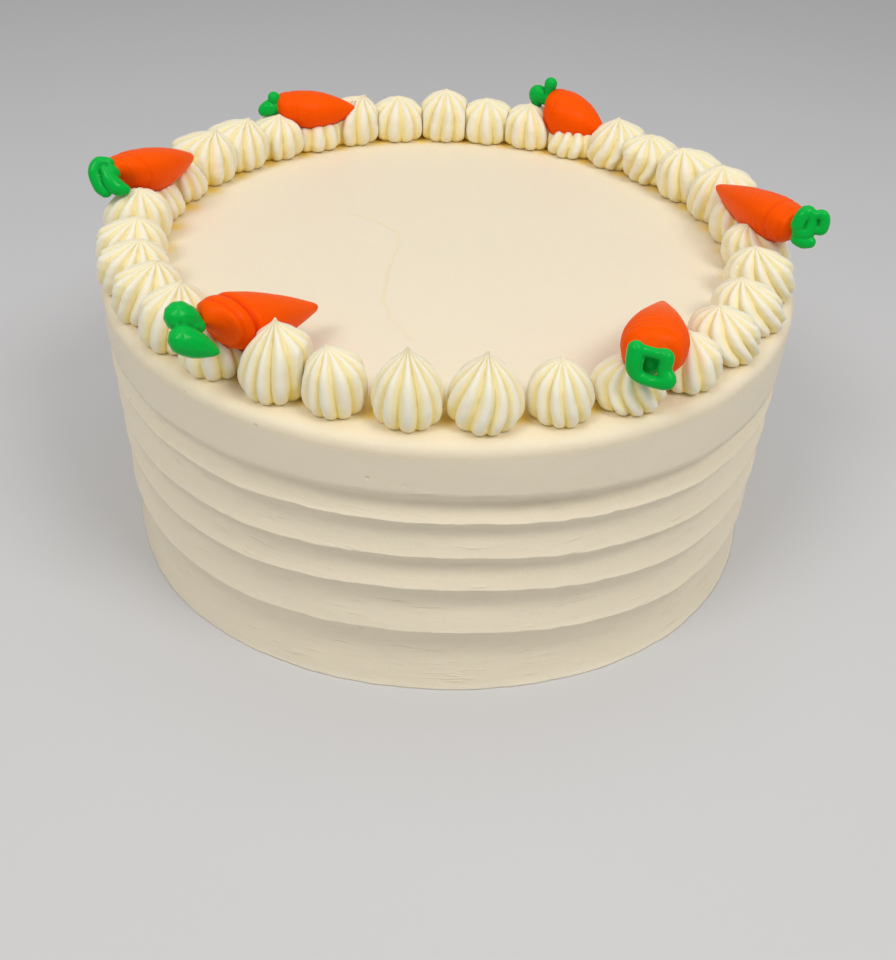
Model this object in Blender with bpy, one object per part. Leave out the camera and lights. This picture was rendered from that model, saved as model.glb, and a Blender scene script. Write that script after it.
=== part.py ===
"""A round carrot cake, iced all over, with a border of piped kisses and six piped carrots.

The iced cake stands on the plane z = 0 with its axis on Z, and its front looks along -Y. Angles are
taken round the axis from +X, counter-clockwise from above. Lengths are metres.
"""

import math
import random

import bpy
from mathutils import Matrix, Vector

# The iced body: a 10 inch cake, 4 inches high.
CAKE_RADIUS = 0.125
TOP_RADIUS = 0.124
CAKE_HEIGHT = 0.1017
SHOULDER = 0.0026
SHOULDER_STEPS = 3
SQUARED_FOOT = 0.0013
FOOT_CORNERS = 4
BODY_SIDES = 48

# The comb's lines round the side, as shares of the radius above the board: the band's edge, then ridges.
COMB_LINES = ((0.655, 0.010), (0.575, 0.010), (0.462, 0.015), (0.350, 0.018), (0.202, 0.013))
COMB_DEPTH = 0.0013
COMB_UNDERCUT = 0.0030
COMB_WAVES = 4
COMB_CREST_AT = math.radians(272)
COMB_DRIFT = 0.018
COMB_DRIFT_AT = math.radians(200)

# The border of kisses.
KISS_RIDGES = 10
KISS_RING = 0.1099
KISS_RING_SPREAD = 0.0020
KISS_RING_SHIFT = 0.0010
KISS_RADIUS = 0.0108
KISS_STRETCH = 0.14
KISS_LEAN = 0.0010
KISS_GROOVE = 0.16
KISS_TWIST = math.radians(-38)
KISS_TWIST_SWAY = math.radians(8)
TWISTED_SIDE = math.radians(318)
TWIST_FOCUS = 8
FIRST_KISS = math.radians(89.2)
CROWDING = ((math.radians(4.65), 1, math.radians(-30)), (math.radians(0.6), 2, math.radians(119)))
# Kisses piped off their even place.
NUDGES = {1: math.radians(-0.8), 20: math.radians(1.0), 33: math.radians(0.8)}
# Height and width of each row of a kiss, as shares of its height and radius, below its pointed tip.
KISS_ROWS = ((0.0, 0.86), (0.20, 1.0), (0.55, 0.88), (0.82, 0.40))
# Each kiss, clockwise from the back: its height and how far to the right its tip is drawn, both in
# millimetres, then its share of the full width.
KISS_SHAPES = (
    (20.5, 0.0, 1.03), (17.5, 0.0, 1.0), (17.5, -1.0, 0.98), (18.0, -1.0, 1.0), (19.5, 0.0, 0.98),
    (18.0, -3.5, 1.02), (19.5, -4.0, 1.03), (20.5, -1.0, 1.0), (19.0, -2.0, 1.0), (18.5, -3.0, 1.02),
    (18.0, -3.5, 1.0), (16.5, -4.5, 1.03), (16.5, -3.0, 1.0), (16.0, 0.5, 1.02), (18.0, 0.0, 1.03),
    (18.0, -0.5, 0.93), (22.0, 0.0, 1.03), (22.5, -0.5, 0.98), (19.5, -2.0, 0.90), (23.5, 0.5, 1.0),
    (21.0, 0.0, 1.0), (20.5, 2.5, 1.0), (19.0, 3.5, 1.02), (17.5, 3.0, 1.0), (16.5, 3.0, 1.03),
    (18.5, 1.5, 1.0), (18.0, 2.0, 1.0), (13.0, 1.0, 1.0), (20.0, 4.0, 1.03), (19.5, 4.0, 1.02),
    (17.0, 2.5, 1.0), (18.0, 1.0, 1.0), (19.5, 4.0, 1.0), (17.5, 0.0, 0.98),
)
# A carrot presses a kiss down whose middle is under this share of its half width, and sinks in this far.
PRESSING_WIDTH = 0.9
PRESS_DEPTH = 0.0040

# Each carrot: its crown's angle, radius and height over the icing, its tip's, then its size.
CARROTS = (
    (236.0, 0.1182, 0.0212, 238.9, 0.0780, 0.0100, 1.06),
    (181.0, 0.1185, 0.0232, 161.5, 0.1051, 0.0160, 0.92),
    (131.4, 0.1118, 0.0184, 114.3, 0.1044, 0.0150, 0.96),
    (68.3, 0.1112, 0.0190, 55.1, 0.1125, 0.0104, 1.14),
    (350.1, 0.1193, 0.0225, 13.9, 0.1030, 0.0163, 0.94),
    (299.8, 0.1168, 0.0182, 320.4, 0.0891, 0.0106, 1.08),
)
CARROT_HALF_WIDTH = 0.0090
CARROT_HALF_HEIGHT = 0.0078
CARROT_SIDES = 10
# Along a carrot from crown to tip: the share of its length, then the share of its thickness.
CARROT_ROWS = (
    (0.00, 0.50), (0.05, 0.88), (0.15, 1.00), (0.21, 0.92),
    (0.30, 0.98), (0.56, 0.74), (0.80, 0.42), (0.95, 0.20),
)
CROWN_DOME = 0.0008

# Each carrot's leaves: their size, and how far round its axis each lobe points, in degrees from straight up.
LEAVES = (
    (1.06, (80, 205)),
    (0.92, (40, 155, 250)),
    (0.82, (20, 140, 265)),
    (0.88, (20, 160, 275)),
    (0.94, (5, 150, 265)),
    (0.88, (40, 130, 225, 315)),
)
LEAF_LENGTH = 0.0058
LEAF_RADIUS = 0.0040
LEAF_SPREAD = 0.0045
LEAF_REACH = 0.0044
LEAF_OUTWARD = 0.6
KNOB_RADIUS = 0.0046
KNOB_REACH = 0.0028
KNOB_DEPTH = 0.75
LEAF_SIDES = 7
LEAF_RINGS = 4

# Neighbours that touch keep this gap.
GAP = 0.0003

ICING = (0.79, 0.74, 0.62)
PIPED_ICING = (0.82, 0.77, 0.60)
CARROT_ORANGE = (1.0, 0.10, 0.005)
LEAF_GREEN = (0.005, 0.42, 0.05)


def clear_scene():
    for thing in list(bpy.data.objects):
        bpy.data.objects.remove(thing, do_unlink=True)


def icing_material(name, colour, roughness):
    material = bpy.data.materials.new(name)
    material.use_nodes = True
    shader = material.node_tree.nodes["Principled BSDF"]
    shader.inputs["Base Color"].default_value = (*colour, 1.0)
    shader.inputs["Roughness"].default_value = roughness
    shader.inputs["Metallic"].default_value = 0.0
    return material


def solid(name, points, faces, material):
    """A named object from a closed surface, shaded smooth."""
    mesh = bpy.data.meshes.new(name)
    mesh.from_pydata(points, [], faces)
    mesh.materials.append(material)
    mesh.shade_smooth()
    mesh.validate()
    thing = bpy.data.objects.new(name, mesh)
    bpy.context.scene.collection.objects.link(thing)
    return thing


def helper(name, points, faces, material):
    """A shape that only cuts or joins others."""
    thing = solid(name, points, faces, material)
    thing.hide_render = True
    thing.display_type = "WIRE"
    return thing


def combine(thing, other, operation):
    boolean = thing.modifiers.new(operation.title() + " " + other.name, "BOOLEAN")
    boolean.operation = operation
    boolean.solver = "EXACT"
    boolean.object = other


def ring_faces(rows, sides):
    """Quads between rows of points that each run counter-clockwise, from the lowest row up."""
    faces = []
    for row in range(rows - 1):
        for side in range(sides):
            after = (side + 1) % sides
            low, high = row * sides, (row + 1) * sides
            faces.append((low + side, low + after, high + after, high + side))
    return faces


def fan(centre, start, sides, up):
    """Triangles from a centre point to a row."""
    if up:
        return [(start + side, start + (side + 1) % sides, centre) for side in range(sides)]
    return [(start + (side + 1) % sides, start + side, centre) for side in range(sides)]


def closed_rows(rows, bottom, top):
    """Points and faces of a surface through rows of points, closed at both ends."""
    sides = len(rows[0])
    points = [point for row in rows for point in row] + [bottom, top]
    count = len(rows) * sides
    faces = ring_faces(len(rows), sides)
    faces += fan(count, 0, sides, up=False)
    faces += fan(count + 1, count - sides, sides, up=True)
    return points, faces


# The iced body


def comb_height(line, wave, angle):
    waves = wave * math.cos(COMB_WAVES * (angle - COMB_CREST_AT))
    drift = COMB_DRIFT * math.cos(angle - COMB_DRIFT_AT)
    return CAKE_RADIUS * (line + waves + drift)


def side_radius(angle, height):
    """The icing's outer face before the comb: it narrows upwards and its foot is a little squared."""
    rise = height / CAKE_HEIGHT
    squared = -SQUARED_FOOT * math.cos(FOOT_CORNERS * angle) * (1 - rise)
    return CAKE_RADIUS + (TOP_RADIUS - CAKE_RADIUS) * rise + squared


def body_column(angle):
    """Height and radius of each point up the side at one angle, from the foot to the flat top."""
    column = [(0.0, side_radius(angle, 0.0) - COMB_DEPTH)]
    for line, wave in reversed(COMB_LINES):
        crest = comb_height(line, wave, angle)
        column.append((crest - COMB_UNDERCUT, side_radius(angle, crest) - COMB_DEPTH))
        column.append((crest, side_radius(angle, crest)))
    for step in range(SHOULDER_STEPS + 1):
        turn = step / SHOULDER_STEPS * math.pi / 2
        height = CAKE_HEIGHT - SHOULDER * (1 - math.sin(turn))
        column.append((height, TOP_RADIUS - SHOULDER * (1 - math.cos(turn))))
    return column


def make_body(material):
    columns = []
    for side in range(BODY_SIDES):
        angle = 2 * math.pi * side / BODY_SIDES
        columns.append([
            Vector((radius * math.cos(angle), radius * math.sin(angle), height))
            for height, radius in body_column(angle)
        ])
    rows = [list(row) for row in zip(*columns)]
    points, faces = closed_rows(rows, Vector((0, 0, 0)), Vector((0, 0, CAKE_HEIGHT)))
    return solid("cake_body", points, faces, material)


# The carrots


def at(angle, radius, height):
    """A point over the icing, from its angle in degrees."""
    turn = math.radians(angle)
    return Vector((radius * math.cos(turn), radius * math.sin(turn), CAKE_HEIGHT + height))


def carrot_frame(carrot):
    """A carrot's crown, its length, and a matrix whose X points to the tip and Z up."""
    crown = at(*carrot[0:3])
    along = at(*carrot[3:6]) - crown
    length = along.length
    along.normalize()
    across = Vector((0, 0, 1)).cross(along).normalized()
    up = along.cross(across)
    turn = Matrix((along, across, up)).transposed()
    return crown, length, turn


def carrot_surface(carrot, grow):
    """A carrot's root with its folds near the crown, grown all over by a margin."""
    crown, length, turn = carrot_frame(carrot)
    wide = CARROT_HALF_WIDTH * carrot[6]
    high = CARROT_HALF_HEIGHT * carrot[6]
    rows = []
    for share, thick in CARROT_ROWS:
        ahead = share * (length + 2 * grow) - grow
        row = []
        for side in range(CARROT_SIDES):
            angle = 2 * math.pi * side / CARROT_SIDES
            y = (wide * thick + grow) * math.cos(angle)
            z = (high * thick + grow) * math.sin(angle)
            row.append(crown + turn @ Vector((ahead, y, z)))
        rows.append(row)
    back = crown + turn @ Vector((-grow - CROWN_DOME, 0, 0))
    tip = crown + turn @ Vector((length + grow, 0, 0))
    return closed_rows(rows, back, tip)


def egg_surface(centre, axis, long_half, half):
    """A closed egg round a centre, longest along an axis."""
    spin = axis.to_track_quat("Z", "Y").to_matrix()
    rows = []
    for ring in range(1, LEAF_RINGS):
        polar = math.pi * ring / LEAF_RINGS
        row = []
        for side in range(LEAF_SIDES):
            around = 2 * math.pi * side / LEAF_SIDES
            reach = half * math.sin(polar)
            local = Vector((reach * math.cos(around), reach * math.sin(around), -long_half * math.cos(polar)))
            row.append(centre + spin @ local)
        rows.append(row)
    pole = spin @ Vector((0, 0, long_half))
    return closed_rows(rows, centre - pole, centre + pole)


def lobe_surface(carrot, size, angle, grow):
    """One rounded leaf lobe that leans out from the crown."""
    crown, _, turn = carrot_frame(carrot)
    outward = Vector((0, math.sin(math.radians(angle)), math.cos(math.radians(angle))))
    axis = turn @ (Vector((-1, 0, 0)) + outward * LEAF_OUTWARD)
    centre = crown + turn @ (Vector((-LEAF_REACH, 0, 0)) + outward * LEAF_SPREAD) * size
    return egg_surface(centre, axis, LEAF_LENGTH * size + grow, LEAF_RADIUS * size + grow)


def knob_surface(carrot, size, grow):
    """The blob of green at the crown from which the lobes spring."""
    crown, _, turn = carrot_frame(carrot)
    axis = turn @ Vector((-1, 0, 0))
    centre = crown + axis * KNOB_REACH * size
    return egg_surface(centre, axis, KNOB_RADIUS * KNOB_DEPTH * size + grow, KNOB_RADIUS * size + grow)


def make_carrots(orange, green):
    """The six carrots, and the grown shapes that press their seats into the kisses."""
    presses = []
    for number, (carrot, (size, turns)) in enumerate(zip(CARROTS, LEAVES), start=1):
        solid(f"carrot_root_{number}", *carrot_surface(carrot, 0.0), orange)
        press = helper(f"root_press_{number}", *carrot_surface(carrot, GAP), orange)
        presses.append(press)
        leaves = solid(f"carrot_leaves_{number}", *knob_surface(carrot, size, 0.0), green)
        presses.append(helper(f"knob_press_{number}", *knob_surface(carrot, size, GAP), green))
        for lobe, angle in enumerate(turns, start=1):
            name = f"{number}_{lobe}"
            part = helper("lobe_" + name, *lobe_surface(carrot, size, angle, 0.0), green)
            combine(leaves, part, "UNION")
            grown = lobe_surface(carrot, size, angle, GAP)
            presses.append(helper("lobe_press_" + name, *grown, green))
        combine(leaves, press, "DIFFERENCE")
    return presses


# The kisses


def kiss_angles():
    """Where each kiss stands: evenly piped, but closer together at the back."""
    step = 2 * math.pi / len(KISS_SHAPES)
    angles = []
    for number in range(len(KISS_SHAPES)):
        turn = step * number
        crowd = sum(size * math.cos(waves * turn + start) for size, waves, start in CROWDING)
        angles.append(FIRST_KISS - turn + crowd + NUDGES.get(number + 1, 0.0))
    return angles


def thickness_at(share):
    """A carrot's thickness at a share of its length, and none beyond its ends."""
    for (start, thick), (end, thin) in zip(CARROT_ROWS, CARROT_ROWS[1:]):
        if start <= share <= end:
            return thick + (thin - thick) * (share - start) / (end - start)
    return 0.0


def underside(centre):
    """How high over the icing the lowest carrot above a point lets a kiss stand, or None."""
    lowest = None
    for carrot in CARROTS:
        crown, length, turn = carrot_frame(carrot)
        wide = CARROT_HALF_WIDTH * carrot[6]
        high = CARROT_HALF_HEIGHT * carrot[6]
        local = turn.transposed() @ Vector((centre.x - crown.x, centre.y - crown.y, 0))
        thick = thickness_at(local.x / length)
        if abs(local.y) < wide * thick * PRESSING_WIDTH:
            axis = crown.z + (turn @ Vector((local.x, 0, 0))).z
            drop = high * thick * math.sqrt(1 - (local.y / (wide * thick)) ** 2)
            hang = axis - max(drop - PRESS_DEPTH, 0.0) - CAKE_HEIGHT
            lowest = hang if lowest is None else min(lowest, hang)
    return lowest


def held_in(point, centre, walls):
    """Draws a point back towards its kiss's middle until it is clear of both neighbours."""
    for wall in walls:
        over = point.dot(wall) + GAP / 2
        if over > 0:
            inside = -(centre.dot(wall) + GAP / 2)
            point = centre + (point - centre) * (inside / (inside + over))
    return point


def neighbour_walls(number, angles):
    """Upright planes halfway to both neighbours, through the cake's axis, facing out of the kiss."""
    full = 2 * math.pi
    angle = angles[number]
    before = angles[number - 1] + (full if number == 0 else 0)
    after = angles[(number + 1) % len(angles)] - (full if number == len(angles) - 1 else 0)
    left = (angle + before) / 2
    right = (angle + after) / 2
    return Vector((-math.sin(left), math.cos(left), 0)), Vector((math.sin(right), -math.cos(right), 0))


def kiss_size(number, foot):
    """A kiss's height, radius and the pull on its tip: a carrot that lies on it presses it down."""
    height, pull, width = KISS_SHAPES[number]
    pressed = underside(foot)
    if pressed is not None:
        height = min(height, 1000 * pressed)
    return height * 0.001, KISS_RADIUS * width, Vector((pull * 0.001, 0, 0))


def make_kiss(number, angles, chance, material):
    angle = angles[number]
    walls = neighbour_walls(number, angles)
    inward = -Vector((math.cos(angle), math.sin(angle), 0))
    sideways = math.cos(angle)
    ring = KISS_RING + KISS_RING_SPREAD * sideways ** 2 - KISS_RING_SHIFT * sideways ** 3
    foot = -inward * ring
    height, radius, pull = kiss_size(number, foot)
    twisted = math.cos((angle - TWISTED_SIDE) / 2) ** TWIST_FOCUS
    twist = KISS_TWIST * twisted + chance.uniform(-KISS_TWIST_SWAY, KISS_TWIST_SWAY)
    lean = inward * KISS_LEAN + pull
    start = chance.uniform(0, math.pi)
    floor = Vector((0, 0, CAKE_HEIGHT + GAP))
    rows = []
    for rise, width in KISS_ROWS:
        middle = foot + floor + lean * rise + Vector((0, 0, height * rise))
        row = []
        for side in range(2 * KISS_RIDGES):
            around = start + math.pi * side / KISS_RIDGES + twist * rise
            ridge = 1.0 if side % 2 == 0 else 1.0 - KISS_GROOVE
            reach = radius * width * ridge
            offset = Vector((reach * math.cos(around), reach * math.sin(around), 0))
            offset += inward * offset.dot(inward) * KISS_STRETCH * sideways ** 2
            row.append(held_in(middle + offset, middle, walls))
        rows.append(row)
    tip = foot + floor + lean + Vector((0, 0, height))
    points, faces = closed_rows(rows, foot + floor, tip)
    return solid(f"kiss_{number + 1:02d}", points, faces, material)


def box_of(thing):
    xs, ys, zs = zip(*[point.co for point in thing.data.vertices])
    return (min(xs), min(ys), min(zs)), (max(xs), max(ys), max(zs))


def boxes_meet(first, second):
    (low_a, high_a), (low_b, high_b) = box_of(first), box_of(second)
    return all(low_a[i] < high_b[i] and low_b[i] < high_a[i] for i in range(3))


def make_kisses(presses, material):
    chance = random.Random(7)
    angles = kiss_angles()
    for number in range(len(KISS_SHAPES)):
        kiss = make_kiss(number, angles, chance, material)
        for press in presses:
            if boxes_meet(kiss, press):
                combine(kiss, press, "DIFFERENCE")


def build():
    clear_scene()
    make_body(icing_material("smooth_icing", ICING, 0.55))
    orange = icing_material("carrot_icing", CARROT_ORANGE, 0.35)
    green = icing_material("leaf_icing", LEAF_GREEN, 0.25)
    presses = make_carrots(orange, green)
    make_kisses(presses, icing_material("piped_icing", PIPED_ICING, 0.5))


build()
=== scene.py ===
"""A round carrot cake, iced all over in ivory cream cheese icing and combed round its side, with a border of
piped kisses and six little carrots piped in orange and green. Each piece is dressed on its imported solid, in
metres, with Z up and the cake's front towards -Y.
"""

import math

import bmesh
import bpy
import numpy as np
from mathutils import Matrix, Vector


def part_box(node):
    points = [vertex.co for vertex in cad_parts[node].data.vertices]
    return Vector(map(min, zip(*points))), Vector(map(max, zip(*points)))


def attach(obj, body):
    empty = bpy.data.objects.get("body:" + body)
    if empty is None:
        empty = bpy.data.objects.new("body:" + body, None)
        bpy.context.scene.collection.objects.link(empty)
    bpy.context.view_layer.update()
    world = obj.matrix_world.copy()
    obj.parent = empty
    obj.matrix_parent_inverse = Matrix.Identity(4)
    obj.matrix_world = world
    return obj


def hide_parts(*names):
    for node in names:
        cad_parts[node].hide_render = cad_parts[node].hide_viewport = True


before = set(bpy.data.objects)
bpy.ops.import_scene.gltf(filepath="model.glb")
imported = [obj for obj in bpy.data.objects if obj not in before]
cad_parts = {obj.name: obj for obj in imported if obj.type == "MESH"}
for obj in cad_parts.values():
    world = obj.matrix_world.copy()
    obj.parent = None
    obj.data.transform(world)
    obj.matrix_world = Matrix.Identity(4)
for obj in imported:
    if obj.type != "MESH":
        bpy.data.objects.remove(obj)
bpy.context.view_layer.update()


# ------------------------------------------------------------------------------------------------
# The iced cake. The real one is a tall sponge under cream cheese icing, smoothed on top and round a
# band below the rim with a palette knife, and pulled into wavy ridges under it with the knife's end.
# One node tree turns a sheet's rows into its foot, ridges, band, rounded rim and top.
# ------------------------------------------------------------------------------------------------

_, body_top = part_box("cake_body")
CAKE_HEIGHT = body_top.z
CAKE_RADIUS = 0.125
TOP_RADIUS = 0.124
RIM_ROUNDING = 0.0038
SQUARED_FOOT = 0.0013
FOOT_LIP = 0.0005
BODY_SIDES = 540

# The ridges' heights as shares of the radius, and how much each wanders up and down round the side.
RIDGE_LINES = ((0.202, 0.013), (0.350, 0.018), (0.462, 0.015), (0.575, 0.010), (0.655, 0.010))
RIDGE_WAVES = 4
RIDGE_CREST_AT = math.radians(272)
RIDGE_DRIFT = 0.018
RIDGE_DRIFT_AT = math.radians(200)
RIDGE_DEPTH = 0.0029
DEEPEST_AT = math.radians(318)

# Smooth unevenness: the size of its lumps and, in the first four, how far they stand out.
CREST_ROLL, CREST_FLUTTER = (0.030, 0.0022), (0.008, 0.0014)
SIDE_UNEVENNESS, TOP_UNEVENNESS = (0.035, 0.0011), (0.050, 0.0009)
DEPTH_VARIES_OVER, LIP_LUMPS = 0.050, 0.009

# The ridges' depth and the foot's lip, each as a mean share and a share that comes and goes round the
# side, and the lip's height.
MEAN_DEPTH, DEPTH_SWING = 0.95, 0.25
MEAN_LIP, LIP_SWING = 0.3, 0.8
LIP_HEIGHT = 0.0014

# How strong the knife's strokes are on the smooth band, and how soon they fade in above the last crest.
BAND_STROKES, BAND_FADE = 0.12, 0.004

# From one crest, at 0, to the next one up, at 1: how far up the rows lie, and how deep the side dips.
ROWS_UP_A_RIDGE = (
    (0.0, 0.0), (0.06, 0.016), (0.12, 0.034), (0.20, 0.08), (0.5, 0.48), (0.82, 0.90), (0.92, 0.965),
    (1.0, 1.0),
)
DIP_UNDER_A_RIDGE = (
    (0.0, 0.0), (0.03, 0.09), (0.08, 0.22), (0.16, 0.41), (0.28, 0.67), (0.41, 0.90), (0.53, 1.0),
    (0.63, 0.94), (0.74, 0.75), (0.85, 0.46), (0.93, 0.23), (0.98, 0.08), (1.0, 0.0),
)
ROWS_IN_THE_TOP = ((0.0, 0.0), (0.35, 0.16), (0.5, 0.27), (1.0, 1.0))

# Rows of the sheet in each stretch, from the middle of the underside to the middle of the top.
UNDERSIDE_ROWS, RIDGE_ROWS, BAND_ROWS, RIM_ROWS, TOP_ROWS = 3, 18, 8, 8, 34

# Painted shade: where the kisses stand, the icing is painted deeper, golden in the hollows between them.
KISSES_FROM, KISSES_TO = 0.097, 0.1155
RING_FADES_IN, RING_FADES_OUT = 0.005, 0.004
BETWEEN_KISSES = 0.0036
RING_SHADE = 0.16
RIM_SHADE, RIM_FADE = 0.07, 0.010

# A crease that the knife left in the top, from the middle of it towards its front edge.
TOP_CREASE = (
    (-0.0388, 0.0233), (-0.0270, 0.0150), (-0.0186, 0.0078), (-0.0191, -0.0038), (-0.0212, -0.0219),
    (-0.0216, -0.0413), (-0.0185, -0.0543), (-0.0103, -0.0680),
)
CREASE_HALF_WIDTH = 0.0011
CREASE_WANDER = (0.020, 0.003)
CREASE_REACHES_DOWN, CREASE_FAINTER_OVER = 0.002, 0.012
# How much painted shade the crease gets, and how deep its dent is.
CREASE_SHADE, CREASE_RELIEF = 0.2, 0.8

# The icing's own surface: blotches, grain, the knife's flat strokes, and a few holes where air came out.
BLOTCH_SIZE, GRAIN_SIZE, FINE_GRAIN_SIZE = 0.018, 0.0016, 0.0005
STROKE_SIZE, STROKE_FLATNESS, SHARP_STROKES_OVER = 0.013, 7.0, 0.13
AIR_HOLES_APART, AIR_HOLE_SHARPNESS = 0.018, 22.0

# How far each stands out against the blotches, and how much the grain dulls the icing.
GRAIN_RELIEF, FINE_GRAIN_RELIEF, STROKE_RELIEF, AIR_HOLE_RELIEF = 0.6, 0.15, 1.6, 2.0
GRAIN_DULLS = 0.25

ICING_IVORY = (0.86, 0.77, 0.60)
# The colour of painted shade on the cake, which its random mottle also mixes in.
ICING_SHADE_AND_MOTTLE = (0.86, 0.60, 0.10)


def fill(socket, value):
    """Sets a socket, or links another node's number or socket to it."""
    if isinstance(value, Number):
        value = value.socket
    if isinstance(value, bpy.types.NodeSocket):
        socket.id_data.links.new(value, socket)
    elif value is not None:
        socket.default_value = value


def add(tree, kind, *values, **settings):
    """A node with its settings made and its first inputs filled in order."""
    node = tree.nodes.new(kind)
    for name, value in settings.items():
        setattr(node, name, value)
    for socket, value in zip(node.inputs, values):
        fill(socket, value)
    return node


class Number:
    """A number inside a node tree: sums and products of numbers add the tree's own maths nodes."""

    def __init__(self, socket):
        self.socket = socket

    def calc(self, operation, *others):
        node = add(self.socket.id_data, "ShaderNodeMath", self, *others, operation=operation)
        return Number(node.outputs[0])

    def __add__(self, other):
        return self.calc("ADD", other)

    def __sub__(self, other):
        return self.calc("SUBTRACT", other)

    def __mul__(self, other):
        return self.calc("MULTIPLY", other)

    def __truediv__(self, other):
        return self.calc("DIVIDE", other)

    def __pow__(self, other):
        return self.calc("POWER", other)

    def __neg__(self):
        return self * -1.0

    def __rsub__(self, other):
        return -self + other

    def held(self, low=0.0, high=1.0):
        """The number kept between two limits."""
        return self.calc("MAXIMUM", low).calc("MINIMUM", high)

    def on_curve(self, points):
        """The number read off a smooth curve through a few points, each from 0 to 1."""
        node = add(self.socket.id_data, "ShaderNodeFloatCurve", None, self)
        line = node.mapping.curves[0]
        line.points[0].location = points[0]
        line.points[1].location = points[-1]
        for place in points[1:-1]:
            line.points.new(*place)
        node.mapping.update()
        return Number(node.outputs[0])


def parts(socket):
    """A vector's three numbers."""
    node = add(socket.id_data, "ShaderNodeSeparateXYZ", socket)
    return [Number(out) for out in node.outputs]


def point(x, y, z):
    """A vector from three numbers."""
    tree = next(value.socket.id_data for value in (x, y, z) if isinstance(value, Number))
    return add(tree, "ShaderNodeCombineXYZ", x, y, z).outputs[0]


def lumps(place, size, detail=2.0):
    """Smooth unevenness from about -0.5 to 0.5, with lumps of a given size in metres."""
    node = add(place.id_data, "ShaderNodeTexNoise")
    fill(node.inputs["Vector"], place)
    fill(node.inputs["Scale"], 1.0 / size)
    fill(node.inputs["Detail"], detail)
    return Number(node.outputs[0]) - 0.5


def unevenness(place, size_and_height):
    """Lumps of a given size and height, both in metres."""
    size, height = size_and_height
    return lumps(place, size) * height


def shape_tree(name, sizes):
    """A tree of Geometry Nodes with named inputs, and those inputs' sockets by name."""
    tree = bpy.data.node_groups.new(name, "GeometryNodeTree")
    kinds = {float: "Float", int: "Int", Vector: "Vector", bpy.types.Object: "Object"}
    for title, kind in sizes.items():
        tree.interface.new_socket(title, in_out="INPUT", socket_type="NodeSocket" + kinds[kind])
    tree.interface.new_socket("Shape", in_out="OUTPUT", socket_type="NodeSocketGeometry")
    return tree, add(tree, "NodeGroupInput").outputs


def sheet(tree, sides, rows):
    """A sheet that is rolled up into a closed form: its points, the turn round it and the row."""
    grid = add(tree, "GeometryNodeMeshGrid", 1.0, 1.0, sides + 1, rows + 1)
    across, up, _ = parts(add(tree, "GeometryNodeInputPosition").outputs[0])
    return grid.outputs[0], (across + 0.5) * math.tau, (up + 0.5) * float(rows)


def stretch(row, first, count):
    """How far through one stretch of rows a row lies, from 0 to 1."""
    return ((row - float(first)) / float(count)).held()


def close_up(tree, shape, place, marks, material, weld=0.00002):
    """Keeps the named marks, puts the sheet's points in place, welds the seam and ends the tree."""
    for title, value in marks.items():
        shape = add(tree, "GeometryNodeStoreNamedAttribute", shape, None, title, value).outputs[0]
    shape = add(tree, "GeometryNodeSetPosition", shape, None, place).outputs[0]
    shape = add(tree, "GeometryNodeMergeByDistance", shape, None, weld).outputs[0]
    shape = add(tree, "GeometryNodeSetShadeSmooth", shape).outputs[0]
    shape = add(tree, "GeometryNodeRealizeInstances", shape).outputs[0]
    shape = add(tree, "GeometryNodeSetMaterial", shape, None, material).outputs[0]
    add(tree, "NodeGroupOutput", shape)


def made_by(tree, name, sizes):
    """A plain mesh object made by a tree whose named inputs get these sizes."""
    thing = bpy.data.objects.new(name, bpy.data.meshes.new(name))
    bpy.context.scene.collection.objects.link(thing)
    maker = thing.modifiers.new(name, "NODES")
    maker.node_group = tree
    for socket in tree.interface.items_tree:
        if socket.in_out == "INPUT":
            maker[socket.identifier] = sizes[socket.name]
    graph = bpy.context.evaluated_depsgraph_get()
    mesh = bpy.data.meshes.new_from_object(
        thing.evaluated_get(graph), preserve_all_data_layers=True, depsgraph=graph
    )
    thing.modifiers.remove(maker)
    thing.data = mesh
    return thing


def effect(name, inputs, outputs):
    """An empty shader node group with named inputs and outputs, and its inputs' sockets."""
    tree = bpy.data.node_groups.new(name, "ShaderNodeTree")
    for title, (kind, value) in inputs.items():
        socket = tree.interface.new_socket(title, in_out="INPUT", socket_type="NodeSocket" + kind)
        socket.default_value = value
    for title, kind in outputs.items():
        tree.interface.new_socket(title, in_out="OUTPUT", socket_type="NodeSocket" + kind)
    return tree, add(tree, "NodeGroupInput").outputs


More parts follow.
